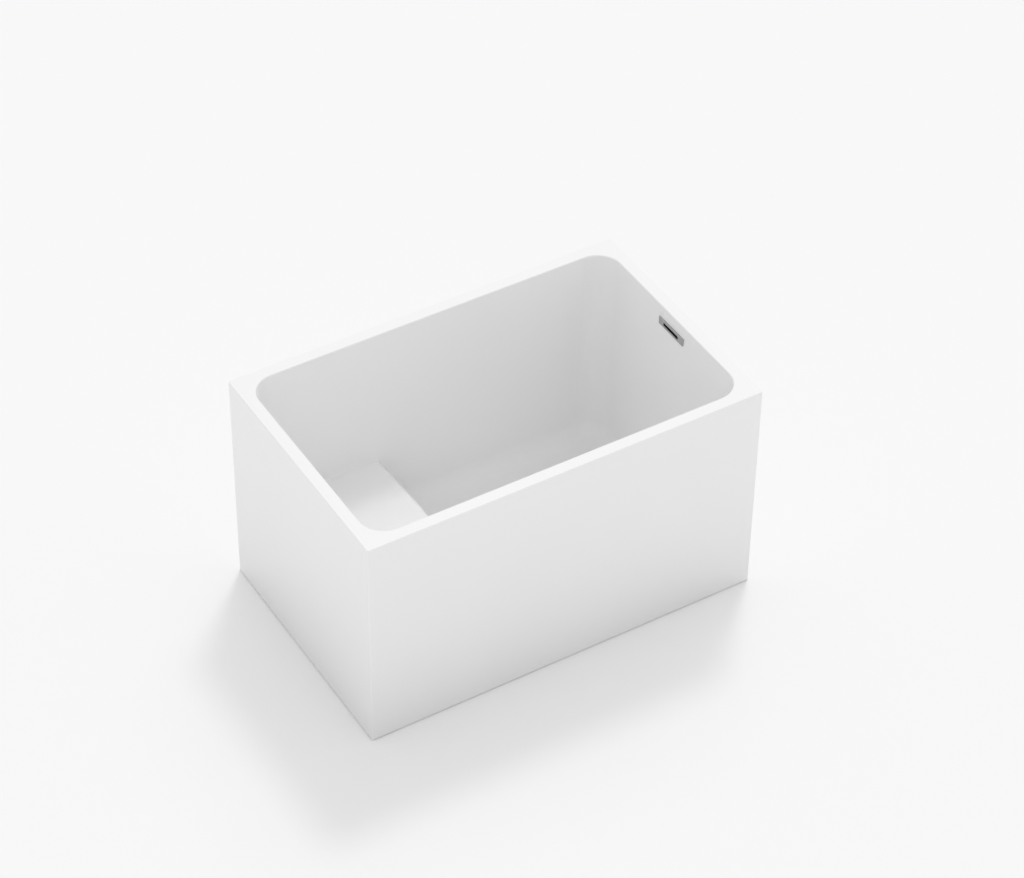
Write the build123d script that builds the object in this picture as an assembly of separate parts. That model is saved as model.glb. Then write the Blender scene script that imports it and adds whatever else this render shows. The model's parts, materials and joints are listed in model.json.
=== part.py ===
from build123d import *
from math import radians, sqrt, tan
import os

# Small freestanding soaking bath: a white acrylic basin with a moulded seat inside a square-edged
# acrylic skirt, carried by a welded steel frame on four levelling feet, with a slot overflow and a
# push-to-close waste. Millimetres. The origin is on the ground under the middle of the bath.
# +X is the drain end, -X the seat end, -Y the front, +Z up. The bath is modelled with its plug
# raised (open) and its feet screwed right in.

# ---------------------------------------------------------------- overall
LENGTH = 1000.0
WIDTH = 630.0
HEIGHT = 580.0
SKIRT_LIFT = 1.5              # daylight under the skirt, so that only the feet stand on the ground

# ---------------------------------------------------------------- acrylic shells
RIM_WIDTH = 30.0
BASIN_WALL = 5.0
SKIRT_WALL = 5.0
OUTER_CORNER_R = 4.0          # upright corners of rim and skirt
OUTER_EDGE_R = 1.2            # rim to skirt
SKIRT_FOOT_R = 1.5            # lower outside edge of the skirt
INNER_CORNER_R = 61.5         # upright corners of the basin
RIM_EDGE_R = 3.0              # rim to basin wall
FLOOR_HEIGHT = 70.0
FLOOR_FILLET_R = 50.0
END_WALL_DRAFT = 4.5          # degrees, how far the basin's walls lean in towards its floor
SIDE_WALL_DRAFT = 4.0
SEAT_HEIGHT = 231.0
SEAT_REACH = 313.5            # from the rim's inner edge to where the seat's front meets the sides
SEAT_BOW = 8.0                # how much further it reaches in the middle
SEAT_NOSE_R = 9.0
SEAT_CREASE_R = 4.0

# ---------------------------------------------------------------- timber
RIM_BATTEN_HEIGHT = 18.0
SKIRT_BATTEN_THICK = 18.0
SKIRT_BATTEN_HEIGHT = 40.0
SKIRT_BATTEN_LIFT = 12.0
BOARD_THICK = 12.0
BOARD_MARGIN = 6.0            # from a board's edge to where the shell over it starts to curve

# ---------------------------------------------------------------- steel frame
TUBE = 20.0
TUBE_WALL = 1.5
RAIL_INSET = 31.0             # middle of a rail from the edge of the floor board
POST_INSET = 52.0             # seat post from the end of the seat board
POST_PLATE = 46.0
POST_PLATE_THICK = 3.0
CROSS_TO_BOARD_END = 50.0
CROSS_TO_OUTLET = 90.0        # leaves room to push a fitting over the pipe end
BRACKET_THICK = 2.5
BRACKET_DROP = 19.0
BRACKET_BEND_R = 2.0
RAIL_BRACKET_REACH = 32.0
STRAP_WIDTH = 30.0
STRAP_TO_FOOT = 110.0

# ---------------------------------------------------------------- screws
SCREW_R = 2.0
SCREW_HEAD_R = 4.0
SCREW_HEAD_HEIGHT = 2.4
RECESS_WIDTH_SHARE = 0.25     # of the head's radius, as on a cross-recessed head
RECESS_LENGTH_SHARE = 1.2
RECESS_DEPTH_SHARE = 0.5      # of the head's height
SCREW_HOLE_CLEAR = 0.3
SCREW_BITE = 9.0              # thread in a board
BRACKET_SCREW_LENGTH = 13.0
FLOOR_SCREW_INSET = 45.0

# ---------------------------------------------------------------- levelling feet
FOOT_SETBACK = 100.0
FOOT_TRAVEL = 15.0
STUD_R = 5.0
STUD_RESERVE = 3.5            # thread above the weld nut with the foot run right out
STUD_HOLE_CLEAR = 0.5
NUT_FLATS = 17.0
WELD_NUT_HEIGHT = 8.0
LOCK_NUT_HEIGHT = 5.0
COLLAR_FLATS = 14.0
COLLAR_HEIGHT = 5.0
STUD_HEAD_R = 8.0
STUD_HEAD_HEIGHT = 3.0
PAD_R = 23.0
PAD_EDGE_HEIGHT = 3.0
PAD_NECK_R = 11.0
SOCKET_FLOOR = 3.0
THREAD_FIT = 0.05             # radial, stud in nut and stud head in pad
STOP_GAP = 0.3                # between pieces that move apart from a stop

# ---------------------------------------------------------------- waste, on the basin floor
DRAIN_SETBACK = 150.0         # from the basin's end wall
FLANGE_R = 36.0
FLANGE_THICK = 2.0
BOWL_R = 25.0
BOWL_WALL = 2.0
BOWL_DEPTH = 16.0
TAIL_R = 21.0
TAIL_LENGTH = 12.0
BAR_WIDTH = 3.0
BAR_COUNT = 4
BOSS_R = 10.0
RECESS_CLEAR = 1.0
DRAIN_HOLE_CLEAR = 0.5
WASTE_THREAD_CLEAR = 0.1
UPPER_GASKET_THICK = 1.5
LOWER_GASKET_THICK = 3.0
BODY_FLANGE_R = 35.0
BODY_FLANGE_THICK = 4.0
BODY_R = 30.0
BODY_WALL = 3.0
BODY_LIFT = 5.0
OUTLET_R = 20.0
OUTLET_WALL = 2.0
OUTLET_LENGTH = 40.0          # of the pipe end that a drain fitting slides over
OUTLET_LIFT = 8.0
OUTLET_COLLAR_R = 22.5
OUTLET_COLLAR_LENGTH = 6.0

# ---------------------------------------------------------------- plug
PLUG_TRAVEL = 9.0
PLUG_CAP_R = 31.0
PLUG_CAP_THICK = 4.5
PLUG_CAP_CROWN = 1.5
PLUG_NECK_R = 20.0
PLUG_NECK_HEIGHT = 7.0
SEAL_WIRE_R = 1.6
STEM_R = 3.0
STEM_IN_CAP = 5.0
PISTON_HEIGHT = 3.0
BARREL_R = 7.0
BARREL_BORE_R = 5.5
BARREL_TOP_WALL = 4.0
BARREL_LENGTH = 27.0
BARREL_COLLAR_R = 9.0
BARREL_COLLAR_HEIGHT = 3.0
END_CAP_HEIGHT = 2.0
SLIDE_FIT = 0.08              # radial, stem and piston in the barrel
SPRING_WIRE_R = 0.5
SPRING_R = 4.4
SPRING_TURNS = 5
SPRING_END_GAP = 0.1

# ---------------------------------------------------------------- overflow, on the drain end wall
OVERFLOW_DROP = 38.5          # from the rim to the middle of the slot
COVER_WIDTH = 98.0
COVER_HEIGHT = 21.0
COVER_PROUD = 3.5
COVER_WALL = 1.2
COVER_EDGE_R = 0.5
COVER_SLOT_WIDTH = 60.0
COVER_SLOT_HEIGHT = 8.4
CLAMP_MARGIN = 0.3            # clamp frame inside the cover
CLAMP_THICK = 2.0
CLAMP_WINDOW_WIDTH = 65.0
CLAMP_WINDOW_HEIGHT = 11.0
CLAMP_SCREW_Y = 37.0
CLAMP_SCREW_R = 1.5
CLAMP_SCREW_HEAD_R = 2.8
CLAMP_SCREW_HEAD_HEIGHT = 1.0
CLAMP_SCREW_LENGTH = 14.0
WALL_HOLE_WIDTH = 84.0
WALL_HOLE_HEIGHT = 15.0
SLEEVE_WALL = 1.2             # of the clamp frame's sleeve through the wall
SLEEVE_FIT = 0.3
WALL_PAD_MARGIN = 1.0         # flat of the sloping wall round the cover and the housing
OVERFLOW_GASKET_THICK = 1.5
HOUSING_WIDTH = 100.0
HOUSING_HEIGHT = 28.0
HOUSING_DEPTH = 16.0
HOUSING_WALL = 1.8
SPIGOT_R = 6.5
SPIGOT_WALL = 1.3
SPIGOT_LENGTH = 22.0
HOSE_WALL = 2.0
HOSE_BEND_R = 85.0
HOSE_FIT = 0.05
HOSE_END_GAP = 0.3
INLET_DROP = 21.5             # from the top of the waste body to the middle of its hose inlet
CLIP_THICK = 0.8
CLIP_WIDTH = 9.0
CLIP_SETBACK = 5.0
CLIP_WORM_REACH = 5.0         # housing of the tightening screw, out from the band
CLIP_WORM_LENGTH = 10.0
CLIP_WORM_WIDTH = 7.0
CLIP_WORM_SCREW_R = 2.5
CLIP_WORM_SCREW_LENGTH = 4.0

# ---------------------------------------------------------------- worked out from the above
inner_length = LENGTH - 2 * RIM_WIDTH
inner_width = WIDTH - 2 * RIM_WIDTH
seat_front_x = SEAT_REACH - inner_length / 2
seat_bow_r = ((inner_width / 2) ** 2 + SEAT_BOW**2) / (2 * SEAT_BOW)
floor_fillet_r = min(FLOOR_FILLET_R, INNER_CORNER_R - 1)


def half_length(z):
    """From the middle of the tub to the inner face of an end wall, at a height."""
    return inner_length / 2 - tan(radians(END_WALL_DRAFT)) * (HEIGHT - z)


def half_width(z):
    """From the middle of the tub to the inner face of a side wall, at a height."""
    return inner_width / 2 - tan(radians(SIDE_WALL_DRAFT)) * (HEIGHT - z)


basin_outer_x = inner_length / 2 + BASIN_WALL
basin_outer_y = inner_width / 2 + BASIN_WALL
skirt_inner_x = LENGTH / 2 - SKIRT_WALL
skirt_inner_y = WIDTH / 2 - SKIRT_WALL
deck_underside = HEIGHT - BASIN_WALL
batten_face_x = skirt_inner_x - SKIRT_BATTEN_THICK
batten_face_y = skirt_inner_y - SKIRT_BATTEN_THICK

shell_bottom = FLOOR_HEIGHT - BASIN_WALL
rail_top = shell_bottom - BOARD_THICK
rail_bottom = rail_top - TUBE
seat_underside = SEAT_HEIGHT - BASIN_WALL

floor_board_x0 = seat_front_x + SEAT_BOW + SEAT_CREASE_R + BOARD_MARGIN
floor_board_x1 = half_length(FLOOR_HEIGHT) - floor_fillet_r - BOARD_MARGIN
floor_board_y = half_width(FLOOR_HEIGHT) - floor_fillet_r - BOARD_MARGIN
rail_y = floor_board_y - RAIL_INSET
seat_board_x0 = SEAT_CREASE_R + BOARD_MARGIN - half_length(SEAT_HEIGHT)
seat_board_x1 = seat_front_x - SEAT_NOSE_R - BOARD_MARGIN
seat_board_y = half_width(SEAT_HEIGHT) - SEAT_CREASE_R - BOARD_MARGIN

foot_x = LENGTH / 2 - FOOT_SETBACK
lock_nut_bottom = rail_bottom - WELD_NUT_HEIGHT - LOCK_NUT_HEIGHT
collar_top = lock_nut_bottom - STOP_GAP
pad_height = collar_top - COLLAR_HEIGHT - STOP_GAP
stud_top = rail_bottom + FOOT_TRAVEL + STUD_RESERVE

drain_x = inner_length / 2 - DRAIN_SETBACK
recess_depth = FLANGE_THICK + UPPER_GASKET_THICK
recess_underside = FLOOR_HEIGHT - recess_depth - BASIN_WALL
body_top = recess_underside - LOWER_GASKET_THICK
bowl_floor = FLOOR_HEIGHT - BOWL_DEPTH
tail_bottom = bowl_floor - TAIL_LENGTH
outlet_z = OUTLET_LIFT + OUTLET_R
outlet_reach = BODY_R + OUTLET_COLLAR_LENGTH + OUTLET_LENGTH
outlet_end_x = drain_x - outlet_reach
inlet_z = body_top - INLET_DROP

neck_bottom_open = FLOOR_HEIGHT + STOP_GAP + PLUG_TRAVEL - PLUG_NECK_HEIGHT
barrel_top = neck_bottom_open - PLUG_TRAVEL - 2 * STOP_GAP
barrel_bottom = barrel_top - BARREL_LENGTH
piston_top = barrel_top - BARREL_TOP_WALL - STOP_GAP
piston_bottom = piston_top - PISTON_HEIGHT
spring_seat = barrel_bottom + END_CAP_HEIGHT

overflow_z = HEIGHT - OVERFLOW_DROP
wall_x = half_length(overflow_z)
pad_x = wall_x + BASIN_WALL
housing_x0 = pad_x + OVERFLOW_GASKET_THICK
housing_x1 = housing_x0 + HOUSING_DEPTH
hose_x = (pad_x + skirt_inner_x) / 2
spigot_bottom = overflow_z - HOUSING_HEIGHT / 2 - SPIGOT_LENGTH
hose_bore_r = SPIGOT_R + HOSE_FIT
hose_r = hose_bore_r + HOSE_WALL

cross_x = {
    "seat": (seat_board_x0 + seat_board_x1) / 2,
    "middle": floor_board_x0 + CROSS_TO_BOARD_END,
    "drain": outlet_end_x - CROSS_TO_OUTLET,
}
post_x = {"wall": seat_board_x0 + POST_INSET, "nose": seat_board_x1 - POST_INSET}
floor_screw_x = (
    floor_board_x0 + FLOOR_SCREW_INSET / 2,
    (floor_board_x0 + floor_board_x1) / 2,
    floor_board_x1 - FLOOR_SCREW_INSET,
)
strap_x = foot_x - STRAP_TO_FOOT
SIDES = {"front": -1, "back": 1}
ENDS = {"seat": -1, "drain": 1}

STANDING = (Align.CENTER, Align.CENTER, Align.MIN)
HANGING = (Align.CENTER, Align.CENTER, Align.MAX)
OVERCUT = 1.0


# ---------------------------------------------------------------- helpers
def rod(radius, low, high):
    """Upright cylinder on the Z axis between two heights."""
    return Pos(0, 0, low) * Cylinder(radius, high - low, align=STANDING)


def ring(outer, inner, low, high):
    """Upright tube on the Z axis between two heights."""
    return rod(outer, low, high) - rod(inner, low - OVERCUT, high + OVERCUT)


def block(low, high):
    """Box between two opposite corners."""
    size = [b - a for a, b in zip(low, high)]
    middle = [(a + b) / 2 for a, b in zip(low, high)]
    return Pos(*middle) * Box(*size)


def turned(*points):
    """Solid of revolution about Z from (radius, height) points."""
    outline = Polyline(*[(r, 0, z) for r, z in points], close=True)
    return revolve(make_face(outline), Axis.Z)


def hexagon(flats, low, high):
    """Upright hexagonal bar on the Z axis, its corners bevelled at both ends."""
    outline = RegularPolygon(flats / 2, 6, major_radius=False)
    bar = Pos(0, 0, low) * extrude(outline, high - low)
    corner_r = flats / sqrt(3)
    bevel = (corner_r - flats / 2) / sqrt(3)
    around = turned(
        (0, low),
        (flats / 2, low),
        (corner_r, low + bevel),
        (corner_r, high - bevel),
        (flats / 2, high),
        (0, high),
    )
    return bar & around


def screw(length, shank=SCREW_R, head=SCREW_HEAD_R, head_height=SCREW_HEAD_HEIGHT):
    """Screw on the Z axis: its cross-recessed head hangs under z = 0, its shank points up."""
    dome = Cylinder(head, head_height, align=HANGING)
    dome = fillet(dome.edges().sort_by(Axis.Z)[0], head_height / 2)
    slot = Box(RECESS_LENGTH_SHARE * head, RECESS_WIDTH_SHARE * head, 2 * RECESS_DEPTH_SHARE * head_height)
    slot = Pos(0, 0, -head_height) * slot
    dome = dome - slot - Rot(0, 0, 90) * slot
    point = rod(shank, -OVERCUT, length)
    point = chamfer(point.edges().sort_by(Axis.Z)[-1], shank / 2)
    return dome + point


def tube_bar(length):
    """Square tube along X, centred on the origin."""
    hollow = TUBE - 2 * TUBE_WALL
    return Box(length, TUBE, TUBE) - Box(length + OVERCUT, hollow, hollow)


def write(node, *solids):
    """One STEP file for a node, of one solid or of a group of like solids."""
    shape = solids[0] if len(solids) == 1 else Compound(list(solids))
    export_step(shape, f"parts/{node}.step")


# ---------------------------------------------------------------- acrylic shells
def seat_block(grow):
    """What the seat takes out of the basin. grow is how far the basin's wall is thickened."""
    front, top = seat_front_x + SEAT_BOW - grow, SEAT_HEIGHT - grow
    seat = block((-LENGTH, -WIDTH, -OVERCUT), (front + OVERCUT, WIDTH, top))
    bow_r = seat_bow_r - grow
    seat &= Pos(front - bow_r, 0, 0) * rod(bow_r, -2 * OVERCUT, top + OVERCUT)
    nose = seat.edges().filter_by(GeomType.CIRCLE).sort_by(Axis.Z)[-1]
    return fillet(nose, SEAT_NOSE_R - grow)


def soften_seat_crease(space, grow):
    """Rounds the line where the seat meets the walls and the floor of the basin."""
    front, top = seat_front_x - grow, SEAT_HEIGHT - grow
    nose = SEAT_NOSE_R + SEAT_BOW + OVERCUT

    def near_front(face):
        return abs(face.center().X - front) < nose

    on_seat = [
        face
        for face in space.faces()
        if abs(face.center().Z - top) < OVERCUT / 10
        or (near_front(face) and face.geom_type != GeomType.PLANE)
    ]
    edges = [edge for face in on_seat for edge in face.edges()]
    crease = [e for e in edges if sum(e.is_same(other) for other in edges) == 1]
    return fillet(crease, SEAT_CREASE_R + grow)


def basin_space(grow, top):
    """The space inside the basin up to a height, with its skin moved outwards by grow."""
    floor = FLOOR_HEIGHT - grow
    plans = [
        Pos(0, 0, z)
        * RectangleRounded(
            2 * (half_length(z) + grow), 2 * (half_width(z) + grow), INNER_CORNER_R + grow
        )
        for z in (floor, top)
    ]
    well = loft(plans, ruled=True)
    well = fillet(well.faces().sort_by(Axis.Z)[0].edges(), floor_fillet_r + grow)
    space = soften_seat_crease(well - seat_block(grow), grow)
    recess = rod(FLANGE_R + RECESS_CLEAR + grow, floor - recess_depth, floor + OVERCUT)
    return space + Pos(drain_x, 0, 0) * recess


def wall_slot(width, height, x0, x1):
    """Round-ended bar along X at the overflow, to cut a slot with."""
    outline = Plane.YZ * SlotOverall(width, height)
    return Pos(x0, 0, overflow_z) * extrude(outline, x1 - x0)


def wall_plate(width, height, x0, x1):
    """Upright plate on the drain end wall, centred on the overflow slot."""
    return block(
        (x0, -width / 2, overflow_z - height / 2), (x1, width / 2, overflow_z + height / 2)
    )


def flatten_wall_at_overflow(shell):
    """Upright faces on the sloping end wall, under the overflow's cover and its housing."""
    middle = (wall_x + pad_x) / 2
    inner = (COVER_WIDTH, COVER_HEIGHT)
    outer = (HOUSING_WIDTH + 2 * WALL_PAD_MARGIN, HOUSING_HEIGHT + 2 * WALL_PAD_MARGIN)
    shell += wall_plate(*inner, wall_x, middle) + wall_plate(*outer, middle, pad_x)
    shell -= wall_plate(*inner, wall_x - BASIN_WALL, wall_x)
    return shell - wall_plate(*outer, pad_x, pad_x + BASIN_WALL)


def basin_shell():
    deck_plan = RectangleRounded(LENGTH, WIDTH, OUTER_CORNER_R)
    deck = Pos(0, 0, deck_underside) * extrude(deck_plan, BASIN_WALL)
    shell = basin_space(BASIN_WALL, HEIGHT) + deck - basin_space(0, HEIGHT + OVERCUT)
    hole_r = BOWL_R + DRAIN_HOLE_CLEAR
    shell -= Pos(drain_x, 0, 0) * rod(hole_r, 0, FLOOR_HEIGHT)
    shell = flatten_wall_at_overflow(shell)
    shell -= wall_slot(WALL_HOLE_WIDTH, WALL_HOLE_HEIGHT, 0, basin_outer_x + OVERCUT)
    rim = shell.faces().sort_by(Axis.Z)[-1]
    shell = fillet(rim.inner_wires()[0].edges(), RIM_EDGE_R)
    rim = shell.faces().sort_by(Axis.Z)[-1]
    return fillet(rim.outer_wire().edges(), OUTER_EDGE_R)


def outer_skirt():
    height = deck_underside - SKIRT_LIFT
    walls = extrude(RectangleRounded(LENGTH, WIDTH, OUTER_CORNER_R), height)
    foot = walls.faces().sort_by(Axis.Z)[0].edges()
    walls = fillet(foot, SKIRT_FOOT_R)
    inside = Box(2 * skirt_inner_x, 2 * skirt_inner_y, 3 * height)
    return Pos(0, 0, SKIRT_LIFT) * (walls - inside)


os.makedirs("parts", exist_ok=True)
write("basin_shell", basin_shell())
write("outer_skirt", outer_skirt())


# ---------------------------------------------------------------- timber battens and boards
def long_batten(side, inner_y, outer_y, half_length, low, high):
    ys = sorted((side * inner_y, side * outer_y))
    return block((-half_length, ys[0], low), (half_length, ys[1], high))


def end_batten(end, inner_x, outer_x, half_width, low, high):
    xs = sorted((end * inner_x, end * outer_x))
    return block((xs[0], -half_width, low), (xs[1], half_width, high))


rim_batten_low = deck_underside - RIM_BATTEN_HEIGHT
skirt_batten_high = SKIRT_BATTEN_LIFT + SKIRT_BATTEN_HEIGHT
for name, side in SIDES.items():
    rim_batten = long_batten(
        side, basin_outer_y, skirt_inner_y, skirt_inner_x, rim_batten_low, deck_underside
    )
    skirt_batten = long_batten(
        side, batten_face_y, skirt_inner_y, skirt_inner_x, SKIRT_BATTEN_LIFT, skirt_batten_high
    )
    write(f"rim_batten_{name}", rim_batten)
    write(f"skirt_batten_{name}", skirt_batten)
for name, end in ENDS.items():
    rim_batten = end_batten(
        end, basin_outer_x, skirt_inner_x, basin_outer_y, rim_batten_low, deck_underside
    )
    skirt_batten = end_batten(
        end, batten_face_x, skirt_inner_x, batten_face_y, SKIRT_BATTEN_LIFT, skirt_batten_high
    )
    write(f"rim_batten_{name}_end", rim_batten)
    write(f"skirt_batten_{name}_end", skirt_batten)


def floor_board():
    board = block(
        (floor_board_x0, -floor_board_y, rail_top), (floor_board_x1, floor_board_y, shell_bottom)
    )
    clear = FLANGE_R + RECESS_CLEAR + BASIN_WALL + BOARD_MARGIN
    board -= Pos(drain_x, 0, 0) * rod(clear, 0, FLOOR_HEIGHT)
    for side in SIDES.values():
        stud_hole = rod(STUD_R + STUD_HOLE_CLEAR, 0, FLOOR_HEIGHT)
        board -= Pos(foot_x, side * rail_y, 0) * stud_hole
    return board


def seat_board():
    low = seat_underside - BOARD_THICK
    board = block(
        (seat_board_x0, -seat_board_y, low), (seat_board_x1, seat_board_y, seat_underside)
    )
    corners = board.edges().filter_by(Axis.Z).sort_by(Axis.X)[:2]
    return fillet(corners, INNER_CORNER_R)


write("floor_board", floor_board())
write("seat_board", seat_board())


# ---------------------------------------------------------------- steel frame
def bracket(reach, width, rail_screw_at):
    """Angle bracket: its top face is z = 0, its outer face x = 0, one leg goes back, one down."""
    flat = Box(reach, width, BRACKET_THICK, align=(Align.MAX, Align.CENTER, Align.MAX))
    leg = Box(BRACKET_THICK, width, BRACKET_DROP, align=(Align.MAX, Align.CENTER, Align.MAX))
    angle = flat + leg
    bend = angle.edges().filter_by(Axis.Y).sort_by(lambda e: e.center().X + e.center().Z)[-1]
    angle = fillet(bend, BRACKET_BEND_R)
    hole_r = SCREW_R + SCREW_HOLE_CLEAR
    angle -= Pos(-rail_screw_at, 0, 0) * Cylinder(hole_r, 3 * BRACKET_THICK)
    side_hole = Rot(0, 90, 0) * Cylinder(hole_r, 3 * BRACKET_THICK)
    return angle - Pos(0, 0, bracket_screw_z) * side_hole


def bracket_screw_pair(rail_screw_at):
    """The screw up into the tube and the screw out into the batten."""
    upward = Pos(-rail_screw_at, 0, -BRACKET_THICK) * screw(BRACKET_SCREW_LENGTH)
    outward = Pos(-BRACKET_THICK, 0, bracket_screw_z) * Rot(0, 90, 0) * screw(BRACKET_SCREW_LENGTH)
    return [upward, outward]


bracket_screw_z = -(BRACKET_THICK + BRACKET_DROP) / 2
strap_reach = batten_face_y - rail_y + TUBE / 2
strap_screw_at = batten_face_y - rail_y
rail_bracket_screw_at = RAIL_BRACKET_REACH / 2 + BRACKET_THICK
rail_bracket_places = [
    Pos(end * batten_face_x, side * rail_y, rail_bottom) * Rot(0, 0, 90 - 90 * end)
    for end in ENDS.values()
    for side in SIDES.values()
]
strap_places = [
    Pos(end * strap_x, side * batten_face_y, rail_bottom) * Rot(0, 0, 90 * side)
    for end in ENDS.values()
    for side in SIDES.values()
]


def rail(side):
    """Long tube under the boards, drilled for the feet, the board screws and the brackets."""
    bar = Pos(0, side * rail_y, rail_top - TUBE / 2) * tube_bar(2 * batten_face_x)
    for x in (-foot_x, foot_x):
        stud_hole = rod(STUD_R + STUD_HOLE_CLEAR, rail_bottom - OVERCUT, rail_top + OVERCUT)
        bar -= Pos(x, side * rail_y, 0) * stud_hole
    for x in floor_screw_x:
        screw_hole = rod(SCREW_R + SCREW_HOLE_CLEAR, rail_bottom - OVERCUT, rail_top + OVERCUT)
        bar -= Pos(x, side * rail_y, 0) * screw_hole
    tapped = rod(SCREW_R, rail_bottom - OVERCUT, rail_bottom + TUBE / 2)
    bracket_x = batten_face_x - rail_bracket_screw_at
    for x in (-bracket_x, -strap_x, strap_x, bracket_x):
        bar -= Pos(x, side * rail_y, 0) * tapped
    return bar


def cross_member(x):
    length = 2 * rail_y - TUBE
    return Pos(x, 0, rail_top - TUBE / 2) * Rot(0, 0, 90) * tube_bar(length)


def seat_post(x, y):
    """Upright tube welded to a rail, with a drilled plate under the seat board."""
    low, high = rail_top, seat_underside - BOARD_THICK
    hollow = TUBE - 2 * TUBE_WALL
    height = high - low - POST_PLATE_THICK
    post = Box(TUBE, TUBE, height, align=STANDING) - Box(hollow, hollow, 3 * height)
    plate = Box(POST_PLATE, POST_PLATE, POST_PLATE_THICK, align=STANDING)
    for place in post_screw_places:
        plate -= place * Cylinder(SCREW_R + SCREW_HOLE_CLEAR, 3 * POST_PLATE_THICK)
    return Pos(x, y, low) * (post + Pos(0, 0, height) * plate)


post_screw_inset = (POST_PLATE + TUBE) / 4
post_screw_places = [Pos(step * post_screw_inset, 0, 0) for step in (-1, 1)]
post_screw_z = seat_underside - BOARD_THICK - POST_PLATE_THICK
floor_screws = []
seat_screws = []
for side_name, side in SIDES.items():
    write(f"frame_rail_{side_name}", rail(side))
    for x in floor_screw_x:
        floor_screws.append(Pos(x, side * rail_y, rail_bottom) * screw(TUBE + SCREW_BITE))
    for post_name, x in post_x.items():
        y = side * rail_y
        write(f"seat_post_{post_name}_{side_name}", seat_post(x, y))
        for place in post_screw_places:
            bite = screw(POST_PLATE_THICK + SCREW_BITE)
            seat_screws.append(Pos(x, y, post_screw_z) * place * bite)
for name, x in cross_x.items():
    write(f"frame_cross_{name}", cross_member(x))
write("floor_board_screws", *floor_screws)
write("seat_board_screws", *seat_screws)

rail_bracket = bracket(RAIL_BRACKET_REACH, TUBE, rail_bracket_screw_at)
strap = bracket(strap_reach, STRAP_WIDTH, strap_screw_at)
write("rail_end_brackets", *[place * rail_bracket for place in rail_bracket_places])
write("skirt_straps", *[place * strap for place in strap_places])
bracket_screws = [
    place * piece
    for places, screw_at in (
        (rail_bracket_places, rail_bracket_screw_at),
        (strap_places, strap_screw_at),
    )
    for place in places
    for piece in bracket_screw_pair(screw_at)
]
write("bracket_screws", *bracket_screws)


# ---------------------------------------------------------------- levelling feet
def nut(low, high):
    body = hexagon(NUT_FLATS, low, high)
    return body - rod(STUD_R + THREAD_FIT, low - OVERCUT, high + OVERCUT)


def foot_stud():
    """Threaded stud with a hexagon to turn it by, and a flat head held in the foot pad."""
    head = rod(STUD_HEAD_R, SOCKET_FLOOR + THREAD_FIT, SOCKET_FLOOR + THREAD_FIT + STUD_HEAD_HEIGHT)
    shank = rod(STUD_R, SOCKET_FLOOR + STUD_HEAD_HEIGHT / 2, stud_top)
    shank = chamfer(shank.edges().sort_by(Axis.Z)[-1], STUD_R / 5)
    return head + shank + hexagon(COLLAR_FLATS, collar_top - COLLAR_HEIGHT, collar_top)


def foot_pad():
    pad = turned(
        (0, 0), (PAD_R, 0), (PAD_R, PAD_EDGE_HEIGHT), (PAD_NECK_R, pad_height), (0, pad_height)
    )
    socket_height = STUD_HEAD_HEIGHT + 2 * THREAD_FIT
    pad -= rod(STUD_HEAD_R + THREAD_FIT, SOCKET_FLOOR, SOCKET_FLOOR + socket_height)
    return pad - rod(STUD_R + THREAD_FIT, SOCKET_FLOOR, pad_height + OVERCUT)


weld_nuts = []
lock_nuts = []
for end_name, end in ENDS.items():
    for side_name, side in SIDES.items():
        place = Pos(end * foot_x, side * rail_y, 0)
        write(f"foot_stud_{end_name}_{side_name}", place * foot_stud())
        write(f"foot_pad_{end_name}_{side_name}", place * foot_pad())
        weld_nuts.append(place * nut(rail_bottom - WELD_NUT_HEIGHT, rail_bottom))
        lock_nuts.append(place * nut(lock_nut_bottom, rail_bottom - WELD_NUT_HEIGHT))
write("foot_weld_nuts", *weld_nuts)
write("foot_lock_nuts", *lock_nuts)


# ---------------------------------------------------------------- waste
def waste_flange():
    """Chromed strainer: flush rim, straight bowl, threaded tail, and bars that hold the barrel."""
    rim = ring(FLANGE_R, BOWL_R - BOWL_WALL, FLOOR_HEIGHT - FLANGE_THICK, FLOOR_HEIGHT)
    rim = fillet(rim.edges().filter_by(GeomType.CIRCLE).group_by(Axis.Z)[-1], FLANGE_THICK / 4)
    bowl = ring(BOWL_R, BOWL_R - BOWL_WALL, bowl_floor, FLOOR_HEIGHT - FLANGE_THICK)
    step = ring(BOWL_R, TAIL_R - BOWL_WALL, bowl_floor, bowl_floor + BOWL_WALL)
    tail = ring(TAIL_R, TAIL_R - BOWL_WALL, tail_bottom, bowl_floor)
    bars = Part()
    bar_length = TAIL_R - BOWL_WALL / 2
    for turn in range(BAR_COUNT):
        bar = block((0, -BAR_WIDTH / 2, bowl_floor), (bar_length, BAR_WIDTH / 2, bowl_floor + BOWL_WALL))
        bars += Rot(0, 0, 360 * turn / BAR_COUNT) * bar
    grid = bars + rod(BOSS_R, bowl_floor, bowl_floor + BOWL_WALL)
    grid -= rod(BARREL_R + WASTE_THREAD_CLEAR, tail_bottom, FLOOR_HEIGHT)
    return rim + bowl + step + tail + grid


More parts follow.
